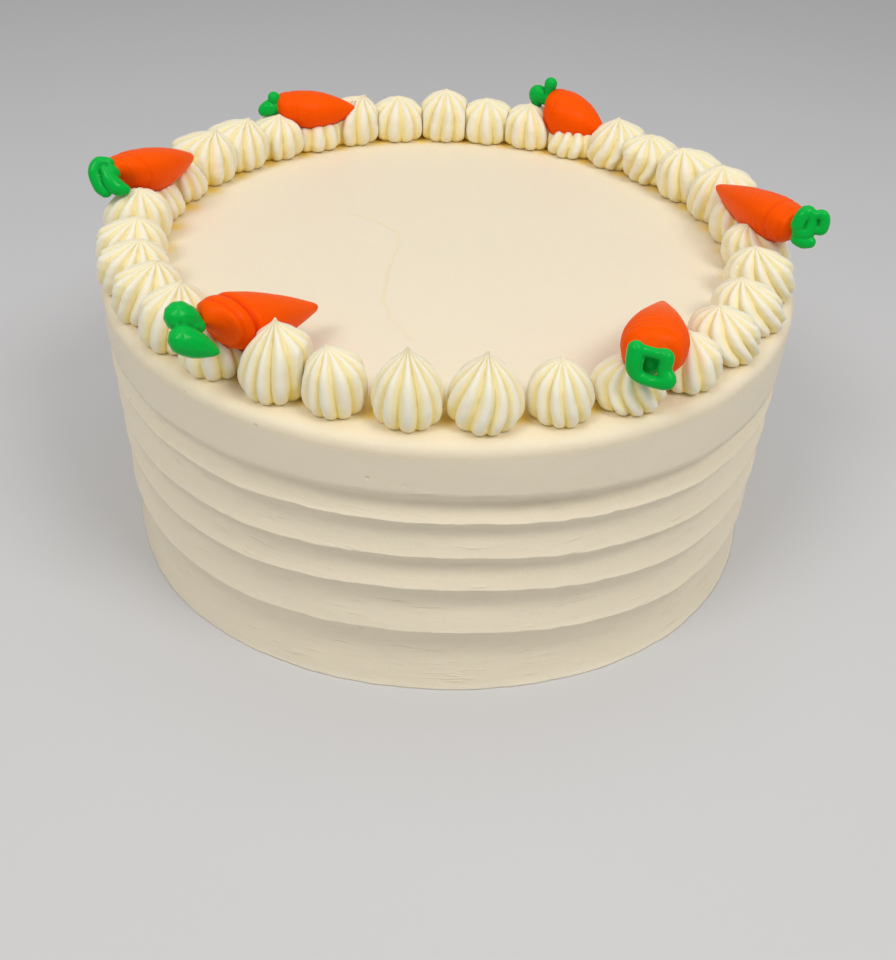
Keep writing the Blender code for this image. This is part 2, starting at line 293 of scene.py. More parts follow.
def icing_effect():
    """The look that every icing shares: mottled colour, painted shade in hollows, and a fine grain."""
    tree, given = effect(
        "icing_surface",
        {
            "Light": ("Color", (1, 1, 1, 1)),
            "Deep": ("Color", (1, 1, 1, 1)),
            "Hollow": ("Float", 0.0),
            "Mottle": ("Float", 0.1),
            "Roughness": ("Float", 0.5),
            "Strokes": ("Float", 0.0),
        },
        {"Color": "Color", "Roughness": "Float", "Height": "Float"},
    )
    place = add(tree, "ShaderNodeTexCoord").outputs["Object"]
    blotches = lumps(place, BLOTCH_SIZE, 3.0)
    grain = lumps(place, GRAIN_SIZE, 4.0)
    fine_grain = lumps(place, FINE_GRAIN_SIZE)
    x, y, z = parts(place)
    strokes = lumps(point(x, y, z * STROKE_FLATNESS), STROKE_SIZE)
    sharp_strokes = (strokes - SHARP_STROKES_OVER).held()
    strokes = (strokes * 0.5 + sharp_strokes * 4.0) * Number(given["Strokes"])
    cells = add(tree, "ShaderNodeTexVoronoi", place)
    cells.inputs["Scale"].default_value = 1 / AIR_HOLES_APART
    air_hole = (1.0 - Number(cells.outputs["Distance"]) * AIR_HOLE_SHARPNESS).held()
    # The piece's painted shade, plus random mottle, mixes the light colour towards the shade colour.
    share = (Number(given["Hollow"]) + blotches * Number(given["Mottle"]) * 2.0).held()
    mixed = add(tree, "ShaderNodeMix", data_type="RGBA")
    fill(mixed.inputs["Factor"], share)
    fill(mixed.inputs[6], given["Light"])
    fill(mixed.inputs[7], given["Deep"])
    out = add(tree, "NodeGroupOutput")
    fill(out.inputs["Color"], mixed.outputs[2])
    fill(out.inputs["Roughness"], (Number(given["Roughness"]) + grain * GRAIN_DULLS).held())
    height = grain * GRAIN_RELIEF + fine_grain * FINE_GRAIN_RELIEF + blotches
    fill(out.inputs["Height"], height + strokes * STROKE_RELIEF - air_hole * AIR_HOLE_RELIEF)
    return tree


icing_surface = icing_effect()


def mark(tree, title):
    """A mark that was stored on the piece's own points, from 0 to 1."""
    return Number(add(tree, "ShaderNodeAttribute", attribute_name=title).outputs["Fac"])


def icing(name, light, deep, mottle, roughness, shine, relief, shade_mark, strokes=None, crease=None):
    """An icing: a shader over the shared effect, with painted shade where its stored mark says."""
    material = bpy.data.materials.new(name)
    material.use_nodes = True
    tree = material.node_tree
    shader = tree.nodes["Principled BSDF"]
    group = add(tree, "ShaderNodeGroup", node_tree=icing_surface)
    # The stored mark of painted shade, read back in the shader.
    deeper, height = mark(tree, shade_mark), Number(group.outputs["Height"])
    if crease:
        line = crease(tree)
        deeper, height = deeper + line * CREASE_SHADE, height - line * CREASE_RELIEF
    fill(group.inputs["Light"], (*light, 1.0))
    fill(group.inputs["Deep"], (*deep, 1.0))
    fill(group.inputs["Hollow"], deeper)
    fill(group.inputs["Mottle"], mottle)
    fill(group.inputs["Roughness"], roughness)
    if strokes:
        fill(group.inputs["Strokes"], mark(tree, strokes))
    bump = add(tree, "ShaderNodeBump")
    fill(bump.inputs["Distance"], relief)
    fill(bump.inputs["Height"], height)
    fill(shader.inputs["Specular IOR Level"], shine)
    fill(shader.inputs["Base Color"], group.outputs["Color"])
    fill(shader.inputs["Roughness"], group.outputs["Roughness"])
    fill(shader.inputs["Normal"], bump.outputs[0])
    return material


def let_light_in(material, weight, reach, tint):
    """Light goes this far into the icing, further in the colours of the tint."""
    shader = material.node_tree.nodes["Principled BSDF"]
    shader.inputs["Subsurface Weight"].default_value = weight
    shader.inputs["Subsurface Scale"].default_value = reach
    shader.inputs["Subsurface Radius"].default_value = tint


def knife_crease(tree):
    """The crease in the top: a thin wandering line where the icing gets a little painted shade."""
    place = add(tree, "ShaderNodeTexCoord").outputs["Object"]
    x, y, z = parts(place)
    wander = unevenness(place, CREASE_WANDER)
    x, y = x + wander, y + wander
    squares = []
    for (from_x, from_y), (to_x, to_y) in zip(TOP_CREASE, TOP_CREASE[1:]):
        length = math.dist((from_x, from_y), (to_x, to_y))
        way_x, way_y = (to_x - from_x) / length, (to_y - from_y) / length
        off_x, off_y = x - from_x, y - from_y
        along = (off_x * way_x + off_y * way_y).held(0.0, length)
        off_x, off_y = off_x - along * way_x, off_y - along * way_y
        squares.append(off_x * off_x + off_y * off_y)
    nearest = squares[0]
    for square in squares[1:]:
        nearest = nearest.calc("MINIMUM", square)
    on_top = ((z - CAKE_HEIGHT) / CREASE_REACHES_DOWN + 1.0).held()
    faint = (lumps(place, CREASE_FAINTER_OVER) * 2.0 + 0.8).held(0.2, 1.0)
    return (1.0 - nearest.calc("SQRT") / CREASE_HALF_WIDTH).held() * on_top * faint


smooth_icing = icing(
    "smooth_icing", ICING_IVORY, ICING_SHADE_AND_MOTTLE, mottle=0.03, roughness=0.50, shine=0.3, relief=0.0002,
    shade_mark="deeper", strokes="combed", crease=knife_crease,
)
let_light_in(smooth_icing, 0.2, 0.003, (1.0, 0.8, 0.45))


def ridge_height(angle, line, wave):
    """How high one ridge's crest runs at each turn round the side."""
    waves = (angle - RIDGE_CREST_AT) * float(RIDGE_WAVES)
    drift = (angle - RIDGE_DRIFT_AT).calc("COSINE") * RIDGE_DRIFT
    return (waves.calc("COSINE") * wave + drift + line) * CAKE_RADIUS


def cake_tree(material):
    """The tree that rolls a sheet up into the cake, from the middle of its underside to that of its top."""
    tree, given = shape_tree("spread_icing", {"Height": float, "Ridge depth": float})
    height, ridge_depth = Number(given["Height"]), Number(given["Ridge depth"])
    rows = UNDERSIDE_ROWS + RIDGE_ROWS * len(RIDGE_LINES) + BAND_ROWS + RIM_ROWS + TOP_ROWS
    shape, angle, row = sheet(tree, BODY_SIDES, rows)
    cosine, sine = angle.calc("COSINE"), angle.calc("SINE")
    around_x, around_y = cosine * CAKE_RADIUS, sine * CAKE_RADIUS
    around = point(around_x, around_y, 0.0)
    towards_deepest = (angle - DEEPEST_AT).calc("COSINE")

    # Up the side: each stretch runs from one crest to the next, and dips in under the upper one.
    z, dip, below, first = height * 0.0, height * 0.0, height * 0.0, UNDERSIDE_ROWS
    for line, wave in RIDGE_LINES:
        crest = ridge_height(angle, line, wave)
        crest = crest + unevenness(around, CREST_ROLL) + unevenness(around, CREST_FLUTTER)
        share = stretch(row, first, RIDGE_ROWS).on_curve(ROWS_UP_A_RIDGE)
        z = z + (crest - below) * share
        dip = dip + share.on_curve(DIP_UNDER_A_RIDGE)
        below, first = crest, first + RIDGE_ROWS
    z = z + (height - RIM_ROUNDING - below) * stretch(row, first, BAND_ROWS)
    first += BAND_ROWS
    turn = stretch(row, first, RIM_ROWS) * (math.pi / 2)
    z = z + turn.calc("SINE") * RIM_ROUNDING
    first += RIM_ROWS
    inwards = stretch(row, first, TOP_ROWS).on_curve(ROWS_IN_THE_TOP)

    # Out from the axis: the leaning side, less its dips, the rounding of the rim and the way in on top.
    rise = z / height
    squared = (angle * 4.0).calc("COSINE") * (1.0 - rise) * -SQUARED_FOOT
    side = rise * (TOP_RADIUS - CAKE_RADIUS) + CAKE_RADIUS + squared
    uneven = unevenness(point(around_x, around_y, z * 2.0), SIDE_UNEVENNESS)
    depth = lumps(point(around_x, around_y, z * 4.0), DEPTH_VARIES_OVER) + MEAN_DEPTH
    depth = ridge_depth * (depth + towards_deepest * DEPTH_SWING)
    lip = (lumps(around, LIP_LUMPS) * 2.0 + towards_deepest * LIP_SWING + MEAN_LIP) * FOOT_LIP
    radius = side + uneven * (1.0 - inwards) - dip * depth + (1.0 - z / LIP_HEIGHT).held() * lip
    radius = radius - (1.0 - turn.calc("COSINE")) * RIM_ROUNDING - inwards * (TOP_RADIUS - RIM_ROUNDING)
    radius = radius * stretch(row, 0, UNDERSIDE_ROWS)
    x, y = radius * cosine, radius * sine
    spread = unevenness(point(x, y, 0.0), TOP_UNEVENNESS) * inwards.calc("SIGN")
    combed = (1.0 - (z - below) / BAND_FADE).held(BAND_STROKES, 1.0) * (1.0 - inwards * 8.0).held()
    close_up(tree, shape, point(x, y, z + spread), {"combed": combed}, material)
    return tree


def paint_kiss_ring_shade(thing):
    """Stores painted shade on top: under the ring of kisses, out to the rim, most where two kisses meet."""
    places = np.empty(len(thing.data.vertices) * 3, np.float32)
    thing.data.vertices.foreach_get("co", places)
    x, y, z = places.reshape(-1, 3).T
    radius, angle = np.hypot(x, y), np.arctan2(y, x)
    middles = [sum(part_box(node), Vector()) / 2 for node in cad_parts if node.startswith("kiss_")]
    turns = sorted(math.atan2(middle.y, middle.x) for middle in middles)
    turns.append(turns[0] + math.tau)
    closest = np.full(len(angle), 1.0)
    for this, following in zip(turns, turns[1:]):
        apart = np.abs((angle - (this + following) / 2 + math.pi) % math.tau - math.pi)
        closest = np.minimum(closest, apart * radius)
    inside = np.clip((radius - KISSES_FROM) / RING_FADES_IN, 0, 1)
    outside = np.clip((KISSES_TO - radius) / RING_FADES_OUT, 0, 1)
    on_top = z > CAKE_HEIGHT - RIM_ROUNDING * 1.4
    meeting = np.exp(-((closest / BETWEEN_KISSES) ** 2))
    ring = inside * outside * (RING_SHADE + (1 - RING_SHADE) * meeting)
    rim = np.clip((radius - KISSES_FROM) / RIM_FADE, 0, 1) * RIM_SHADE
    layer = thing.data.attributes.new("deeper", "FLOAT", "POINT")
    layer.data.foreach_set("value", (np.maximum(ring, rim) * on_top).astype(np.float32))


cake = made_by(
    cake_tree(smooth_icing), "iced_cake", {"Height": CAKE_HEIGHT, "Ridge depth": RIDGE_DEPTH}
)
paint_kiss_ring_shade(cake)
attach(cake, "root")
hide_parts("cake_body")


# ------------------------------------------------------------------------------------------------
# The six carrots' roots. The real ones are piped in orange icing with a plain nozzle, pressed down at
# the crown, where the icing rolls over itself, and drawn off to a point. Each is the same rolled-up
# sheet, laid on its solid's own axis, with folds and fine ripples by the crown.
# ------------------------------------------------------------------------------------------------

CARROT_COUNT = 6
ROOT_SIDES = 64
CROWN_ROWS, ROOT_ROWS = 8, 70

# Along a root, from its crown at 0 to its tip at 1: two outlines, and where its creases and roll lie.
DRAWN_OFF = (
    (0.0, 0.62), (0.03, 0.84), (0.08, 0.95), (0.17, 1.0), (0.30, 0.985), (0.45, 0.86), (0.62, 0.66),
    (0.80, 0.40), (0.92, 0.22), (0.975, 0.13), (1.0, 0.0),
)
BULLET = (
    (0.0, 0.56), (0.03, 0.71), (0.08, 0.82), (0.17, 0.92), (0.30, 0.99), (0.42, 1.0), (0.55, 0.93),
    (0.68, 0.80), (0.80, 0.61), (0.91, 0.38), (0.97, 0.22), (1.0, 0.0),
)
FIRST_CREASE, LAST_CREASE, ROLL = (0.065, 0.020), (0.175, 0.024), (0.23, 0.05)
FOLDS_SLANT = 0.01
CROWN_DOME = 0.03
ROWS_CROWD_TO_CROWN = 1.35

# The folds, ripples and lumps, as shares of a root's thickness.
FOLD_DEPTH = 0.12
RIPPLE_TURNS, RIPPLE_DEPTH = 95.0, 0.012
ROOT_LUMPS, ROOT_LUMP_DEPTH = 0.009, 0.09

ORANGE = (1.0, 0.100, 0.0)
# The colour of painted shade in the roots' creases and ripples, which their random mottle also mixes in.
ORANGE_SHADE_AND_MOTTLE = (0.85, 0.050, 0.0)

# How deep each carrot's folds and ripples are, and how far its crown's end slants upwards and sideways,
# as shares of its length. The first carrot is the front left one, and they run clockwise.
ROOT_FOLDS = (1.0, 0.25, 0.20, 0.10, 0.30, 0.10)
ROOT_RIPPLES = (0.4, 0.2, 0.1, 0.1, 2.5, 2.5)
ROOT_SLANTS = (0.06, 0.06, 0.03, 0.03, 0.01, 0.0)
ROOT_SKEWS = (0.03, 0.04, 0.0, 0.0, 0.03, 0.02)

# How bullet-shaped each root is, how high its back rises and how far its underside sags.
ROOT_BLUNTNESS = (0.3, 1.0, 1.0, 1.0, 0.55, 0.1)
ROOT_BACKS = (0.90, 0.84, 0.92, 0.90, 0.86, 1.0)
ROOT_SAGS = (0.35, 0.45, 0.20, 0.75, 0.50, 0.10)

carrot_icing = icing(
    "carrot_icing", ORANGE, ORANGE_SHADE_AND_MOTTLE, mottle=0.12, roughness=0.36, shine=0.04, relief=0.0001,
    shade_mark="fold_shade",
)
let_light_in(carrot_icing, 0.1, 0.002, (1.0, 0.2, 0.0))


def root_axes(node):
    """A root's crown, and the lines along it to its tip, across half its width and up half its height."""
    places = np.array([vertex.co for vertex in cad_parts[node].data.vertices], float)
    middle = places.mean(0)
    along = np.linalg.svd(places - middle, full_matrices=False)[2][0]
    lowest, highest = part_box(node.replace("root", "leaves"))
    if along @ (np.array((lowest + highest) / 2) - middle) > 0:
        along = -along
    across = np.cross((0, 0, 1), along)
    across /= np.linalg.norm(across)
    up = np.cross(along, across)
    ahead = (places - middle) @ along
    crown = middle + along * ahead.min()
    lines = [along * (ahead.max() - ahead.min())]
    lines += [line * np.abs((places - middle) @ line).max() for line in (across, up)]
    return Vector(crown), [Vector(line) for line in lines]


def fading_beside(way, place_and_reach):
    """1 at a place along the root, fading to nothing on both sides of it."""
    place, reach = place_and_reach
    return (((way - place) / reach) ** 2.0 * -1.0).calc("EXPONENT")


def root_tree(material):
    """The tree that rolls a sheet up into a root, from the middle of its crown to its tip."""
    tree, given = shape_tree(
        "piped_root",
        {
            "Crown": Vector, "Length": Vector, "Half width": Vector, "Half height": Vector,
            "Folds": float, "Ripples": float, "Slant": float, "Skew": float, "Bluntness": float,
            "Back": float, "Sag": float, "Seed": float,
        },
    )
    shape, angle, row = sheet(tree, ROOT_SIDES, CROWN_ROWS + ROOT_ROWS)
    out = stretch(row, 0, CROWN_ROWS)
    way = 1.0 - (1.0 - stretch(row, CROWN_ROWS, ROOT_ROWS)) ** ROWS_CROWD_TO_CROWN
    sine, cosine = angle.calc("SINE"), angle.calc("COSINE")
    drawn_off = way.on_curve(DRAWN_OFF)
    thick = drawn_off + (way.on_curve(BULLET) - drawn_off) * Number(given["Bluntness"])

    # Two rolls of icing by the crown, with a crease behind each, and ripples that fade along the root.
    slanted = way + cosine * FOLDS_SLANT
    creases = fading_beside(slanted, FIRST_CREASE) * 0.5 + fading_beside(slanted, LAST_CREASE)
    roll = fading_beside(slanted, ROLL) * 0.25
    rippled = (slanted * RIPPLE_TURNS).calc("SINE") * (1.0 - way * 1.6).held()
    folds = Number(given["Folds"])
    folded = (roll - creases) * FOLD_DEPTH * folds + rippled * RIPPLE_DEPTH * Number(given["Ripples"])
    seed = Number(given["Seed"]) * 0.1
    place = point(cosine * 0.01 + seed, sine * 0.01, way * 0.04)
    uneven = lumps(place, ROOT_LUMPS) * ROOT_LUMP_DEPTH
    size = thick * (folded + uneven + 1.0) * out

    # The crown's end is domed and cut off at a slant, and the root sags and is flattened on its back.
    slant, skew = Number(given["Slant"]), Number(given["Skew"])
    sheared = sine * slant + cosine * skew - (slant * slant + skew * skew).calc("SQRT") * 0.9
    ahead = way - (1.0 - out ** 2.0) * CROWN_DOME - sheared * (1.0 - way) ** 2.0 * out
    sagging = (-sine).held() * Number(given["Sag"]) * (way * 1.6 + 0.3).held() + 1.0
    sagging = sagging + sine.held() * (Number(given["Back"]) - 1.0)

    x, y, z = parts(given["Crown"])
    for amount, line in (
        (ahead, "Length"), (size * cosine, "Half width"), (size * sine * sagging, "Half height")
    ):
        line_x, line_y, line_z = parts(given[line])
        x, y, z = x + line_x * amount, y + line_y * amount, z + line_z * amount
    # Painted shade: the creases, and the troughs of the ripples, are painted a darker orange.
    fold_shade = (creases * folds - rippled * 0.2).held()
    close_up(tree, shape, point(x, y, z), {"fold_shade": fold_shade}, material)
    return tree


piped_root = root_tree(carrot_icing)
roots = []
for number in range(CARROT_COUNT):
    node = f"carrot_root_{number + 1}"
    crown, (length, half_width, half_height) = root_axes(node)
    root = made_by(piped_root, f"orange_root_{number + 1}", {
        "Crown": crown, "Length": length, "Half width": half_width, "Half height": half_height,
        "Folds": ROOT_FOLDS[number], "Ripples": ROOT_RIPPLES[number], "Slant": ROOT_SLANTS[number],
        "Skew": ROOT_SKEWS[number], "Bluntness": ROOT_BLUNTNESS[number], "Back": ROOT_BACKS[number],
        "Sag": ROOT_SAGS[number], "Seed": float(number),
    })
    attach(root, "root")
    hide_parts(node)
    roots.append(root)


# ------------------------------------------------------------------------------------------------
# The carrots' leaves. The real ones are a few short strokes of glossy green icing, squeezed out of a
# small plain nozzle at the crown, so that they melt into round lobes and loops. Each stroke is a run
# of overlapping beads, and a voxel skin over all of a carrot's beads melts them together.
# ------------------------------------------------------------------------------------------------

# Beads in each step of a stroke, the skin's fineness and how often it is softened, and how many times a
# copy is smoothed to find the creases that get painted shade, and the depth of a full one.
BEAD_STEPS = 9
LEAF_SKIN = 0.00034
LEAF_SOFTENING = 6
CREASE_REACH = 12
FULL_CREASE = 0.0004

GREEN = (0.0, 0.47, 0.055)
# The colour of painted shade in the leaves' creases, which their random mottle also mixes in.
GREEN_SHADE_AND_MOTTLE = (0.0, 0.10, 0.015)

# Strokes of each carrot, in millimetres from its crown: out past the crown, across, up, and the
# stroke's own radius there.
LEAF_STROKES = (
    (
        ((2.5, 1, -1, 2.4), (5.0, 1, -1, 2.6)),
        ((3.4, 2.0, -0.4, 3.0), (5.2, 3.2, 0.6, 4.2), (6.8, 3.8, 1.2, 4.5)),
        ((8.8, -1.2, -3.4, 4.4), (6.2, -3, -4.4, 4.0), (3.2, -5, -5.4, 2.5), (1.5, -6.4, -5.9, 1.2)),
    ),
    (
        ((0, 0, 0, 2.8), (1.5, 0, 0, 3.2)),
        ((0.5, 1, 3.2, 1.9), (3, 3.4, 3.0, 2.2), (4.9, 3.6, 0, 2.4), (5.0, 1.5, -4.2, 2.5),
         (4.4, -0.5, -5.8, 2.3)),
        ((3.6, 0.5, 1.6, 1.4), (3.0, -1.8, -2.0, 2.9), (2.2, -4, -4.0, 3.0), (0.6, -6.4, -4.4, 1.7)),
    ),
    (
        ((0, 0, 0, 2.8), (1.0, 0, 0, 3.0)),
        ((0.5, 0, 2.0, 2.2), (1.3, 0, 3.6, 2.7)),
        ((0.5, 0, -0.5, 2.6), (3.2, 0, -0.5, 3.2), (5.5, 0, -1.8, 2.4)),
    ),
    (
        ((0, 0, 0, 2.6), (1, 0, 1, 2.8)),
        ((1, 0, 3, 2.2), (1.8, 0, 6.8, 2.9)),
        ((1.5, 0, 0, 2.7), (5.6, 0, 0.2, 3.8), (4.0, 0, -3.6, 2.2)),
    ),
    (
        ((0, 0, 0, 2.8), (2.0, 0, 0, 3.0)),
        ((3, 2.9, 1.6, 2.4), (3.3, 2.0, 4.6, 2.3), (3.5, 0, 5.6, 2.4), (4.6, -1.3, 3.0, 2.3),
         (4.4, -0.2, -0.9, 2.6), (3.2, 2.2, -0.6, 2.4)),
        ((5.6, -1.6, 5.0, 1.6), (6.8, -3.2, 5.4, 1.8), (7.4, -4.2, 3.6, 1.9), (7.2, -3.8, 0.4, 2.0),
         (5.6, -2.0, 0.6, 1.8)),
        ((3.0, 2.3, -3.3, 2.1), (4.5, 0.8, -4.0, 2.4), (6.0, -0.9, -4.0, 2.1)),
    ),
    (
        ((-1.5, 0.4, -1.6, 4.4), (-1.2, 0.6, -1.8, 4.4)),
        ((4.6, 4.8, 3.4, 2.6), (4.8, 4.6, 0.6, 2.7), (4.8, 4.4, -1.8, 2.5), (5, 3.0, -4.0, 2.0),
         (5.4, -0.8, -4.9, 1.8), (5.8, -5.2, -4.0, 2.5), (4.9, -3.9, -1.2, 2.1), (4.8, -3.8, 2.6, 2.2),
         (4.4, -0.8, 3.0, 1.6), (4.4, 2.2, 3.2, 1.7), (4.6, 4.4, 3.2, 2.2)),
    ),
)

leaf_icing = icing(
    "leaf_icing", GREEN, GREEN_SHADE_AND_MOTTLE, mottle=0.12, roughness=0.22, shine=0.12, relief=0.00006,
    shade_mark="crease",
)
let_light_in(leaf_icing, 0.1, 0.001, (0.0, 1.0, 0.2))


def stroke_beads(stroke):
    """Centres and radii of the beads along a stroke, on a smooth line through its points."""
    marks = np.array([stroke[0], *stroke, stroke[-1]], float) * 0.001
    beads = []
    for start in range(len(stroke) - 1):
        before, here, there, after = marks[start:start + 4]
        for step in range(BEAD_STEPS + 1):
            share = step / BEAD_STEPS
            curve = (
                2 * here + (there - before) * share
                + (2 * before - 5 * here + 4 * there - after) * share ** 2
                + (3 * here - before - 3 * there + after) * share ** 3
            )
            beads.append(curve / 2)
    return beads


def melted(name, mesh):
    """A mesh whose overlapping forms are skinned over as one, softened, and kept as a plain mesh."""
    thing = bpy.data.objects.new(name, mesh)
    bpy.context.scene.collection.objects.link(thing)
    skin = thing.modifiers.new("skin", "REMESH")
    skin.mode = "VOXEL"
    skin.voxel_size = LEAF_SKIN
    skin.use_smooth_shade = True
    soften = thing.modifiers.new("soften", "SMOOTH")
    soften.iterations = LEAF_SOFTENING
    graph = bpy.context.evaluated_depsgraph_get()
    plain = bpy.data.meshes.new_from_object(thing.evaluated_get(graph), depsgraph=graph)
    thing.modifiers.clear()
    thing.data = plain
    return thing


def mark_crease_shade(thing):
    """Stores painted shade in creases, from how much the surface round each point bends inwards."""
    mesh = thing.data
    count = len(mesh.vertices)
    places, normals = np.empty(count * 3, np.float32), np.empty(count * 3, np.float32)
    mesh.vertices.foreach_get("co", places)
    mesh.vertices.foreach_get("normal", normals)
    places, normals = places.reshape(-1, 3), normals.reshape(-1, 3)
    ends = np.array([edge.vertices[:] for edge in mesh.edges])
    smooth = places.copy()
    neighbours = np.bincount(ends.ravel(), minlength=count)[:, None]
    for _ in range(CREASE_REACH):
        total = np.zeros_like(smooth)
        np.add.at(total, ends[:, 0], smooth[ends[:, 1]])
        np.add.at(total, ends[:, 1], smooth[ends[:, 0]])
        smooth = total / neighbours
    depth = ((smooth - places) * normals).sum(1) / FULL_CREASE
    layer = mesh.attributes.new("crease", "FLOAT", "POINT")
    layer.data.foreach_set("value", np.clip(depth, 0, 1).astype(np.float32))


leaves = []
for number in range(CARROT_COUNT):
    crown, (length, half_width, half_height) = root_axes(f"carrot_root_{number + 1}")
    out, across, up = -length.normalized(), half_width.normalized(), half_height.normalized()
    builder = bmesh.new()
    for stroke in LEAF_STROKES[number]:
        for reach, aside, rise, radius in stroke_beads(stroke):
            centre = Matrix.Translation(crown + out * reach + across * aside + up * rise)
            bmesh.ops.create_icosphere(builder, subdivisions=2, radius=radius, matrix=centre)
    blob = bpy.data.meshes.new(f"green_leaves_{number + 1}")
    builder.to_mesh(blob)
    builder.free()
    leaf = melted(blob.name, blob)
    mark_crease_shade(leaf)
    leaf.data.materials.append(leaf_icing)
    leaf.data.shade_smooth()
    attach(leaf, "root")
    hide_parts(f"carrot_leaves_{number + 1}")
    leaves.append(leaf)


# ------------------------------------------------------------------------------------------------
# The border of kisses. The real ones are piped side by side with a large star nozzle, squeezed out wide
# and drawn up to a point, so that each has ridges that run up it, often with a twist. One node tree
# pipes a kiss, squeezes it against its neighbours and presses it down under what lies on it.
# ------------------------------------------------------------------------------------------------

KISS_RIDGES = 11
POINTS_A_RIDGE = 12
KISS_FOOT_ROWS, KISS_ROWS = 2, 42
TIP_WELD = 0.000001

# A kiss's solid is narrower at its foot than the kiss at its widest. A kiss is fuller at the cake's back,
# stretched at its two sides, sunk a little into the icing, and this high before a carrot presses it.
SOLID_FOOT_SHARE = 0.85
FULLER_AT_BACK = 0.22
KISS_STRETCH = 0.14
KISS_SINK = 0.0004
LEAST_HEIGHT = 0.0155

# Its grooves and lumps are shares of its radius. It leans more the higher it is, and flicks at its tip.
KISS_GROOVE, GROOVE_SHARPNESS = 0.21, 1.15
GROOVE_VARIES_OVER, RIDGES_VARY = 0.006, 0.05
KISS_LUMPS, KISS_LUMP_DEPTH = 0.008, 0.10
LEAN_CURVE = 1.7
TIP_FROM = 0.80

# The gaps to its neighbours and to a carrot above, how softly it is squeezed flat, how far the shade
# between two kisses reaches, and between which heights a carrot is looked for.
KISS_GAP, CARROT_GAP = 0.00005, 0.0002
SQUEEZE_SOFTNESS, SQUEEZE_SHADE = 0.0008, 0.003
LOOK_UP_FROM, LOOK_UP_FAR = 0.001, 0.06

# Up a kiss, from its foot at 0 to its tip at 1: where its rows lie, how wide two kinds of kiss are, how
# much of its bulge and of its twist is left.
ROWS_UP_A_KISS = (
    (0.0, 0.0), (0.06, 0.015), (0.13, 0.055), (0.3, 0.22), (0.6, 0.58), (0.8, 0.81), (0.92, 0.945),
    (1.0, 1.0),
)
POINTED_KISS = (
    (0.0, 0.68), (0.05, 0.82), (0.14, 0.95), (0.27, 1.0), (0.42, 0.94), (0.58, 0.80), (0.72, 0.57),
    (0.81, 0.36), (0.87, 0.20), (0.92, 0.10), (0.96, 0.055), (0.99, 0.03), (1.0, 0.0),
)
DOMED_KISS = (
    (0.0, 0.68), (0.05, 0.82), (0.14, 0.95), (0.28, 1.0), (0.45, 0.965), (0.60, 0.88), (0.74, 0.72),
    (0.84, 0.52), (0.91, 0.31), (0.95, 0.13), (0.98, 0.05), (1.0, 0.0),
)
KISS_BULGE = ((0.0, 0.0), (0.35, 0.1), (0.6, 0.6), (0.78, 1.0), (0.9, 0.6), (0.96, 0.0), (1.0, 0.0))
KISS_TWIST = ((0.0, 1.0), (0.12, 0.93), (0.35, 0.5), (0.6, 0.14), (1.0, 0.0))

# Each kiss, clockwise from the back: its twist and where its first ridge is, in degrees, how blunt it
# is, how far its drawn-off tip flicks to the right, in millimetres, and how much that way it bulges.
KISS_LOOKS = (
    (-5, 20, 1.0, 0.0, 0.0), (5, 35, 1.2, 0.0, 0.2), (0, 5, 1.2, 0.4, 0.0), (-10, 50, 0.4, 0.0, 0.0),
    (-25, 80, 0.5, 0.0, 0.35), (-30, 10, 1.2, 0.3, -0.2), (5, 65, 1.2, -0.5, 0.3), (-10, 25, 1.1, 0.5, 0.3),
    (15, 55, 1.2, 0.0, 0.2), (25, 5, 1.1, 0.0, 0.2), (35, 30, 0.7, 0.0, 0.3), (38, 60, 0.6, 0.3, 0.2),
    (38, 12, 0.6, 0.0, 0.3), (15, 40, 0.7, 0.0, 0.2), (32, 255, 0.6, 0.0, 0.0), (14, 252, 0.9, 0.3, 0.0),
    (-17, 273, 0.15, -0.2, 0.0), (0, 271.7, 0.1, 0.0, 0.0), (4, 261, 0.75, -0.6, 0.3),
    (2, 255.5, 0.2, 0.0, 0.45), (5, 70, 0.5, 0.0, -0.3), (-8, 22, 0.6, 0.4, -0.3), (-15, 47, 0.7, 0.5, -0.4),
    (-15, 75, 0.7, 0.3, -0.4), (-10, 15, 0.7, 0.4, -0.3), (-5, 60, 1.2, 0.3, 0.0), (0, 34, 0.6, 0.0, 0.0),
    (0, 5, 0.7, 0.0, 0.0), (5, 42, 0.8, 2.2, -0.5), (5, 71, 0.7, 1.8, -0.5), (5, 18, 1.2, 0.0, 0.0),
    (0, 59, 0.7, 0.0, 0.2), (10, 33, 0.7, 2.0, -0.5), (0, 3, 1.2, 0.0, 0.0),
)

PIPED_IVORY = (0.89, 0.84, 0.69)
# The colour of painted warm shade in the kisses' grooves and feet, which their random mottle also mixes in.
PIPED_SHADE_AND_MOTTLE = (0.98, 0.80, 0.24)

piped_icing = icing(
    "piped_icing", PIPED_IVORY, PIPED_SHADE_AND_MOTTLE, mottle=0.06, roughness=0.46, shine=0.3, relief=0.00012,
    shade_mark="groove",
)
let_light_in(piped_icing, 0.25, 0.003, (1.0, 0.85, 0.4))


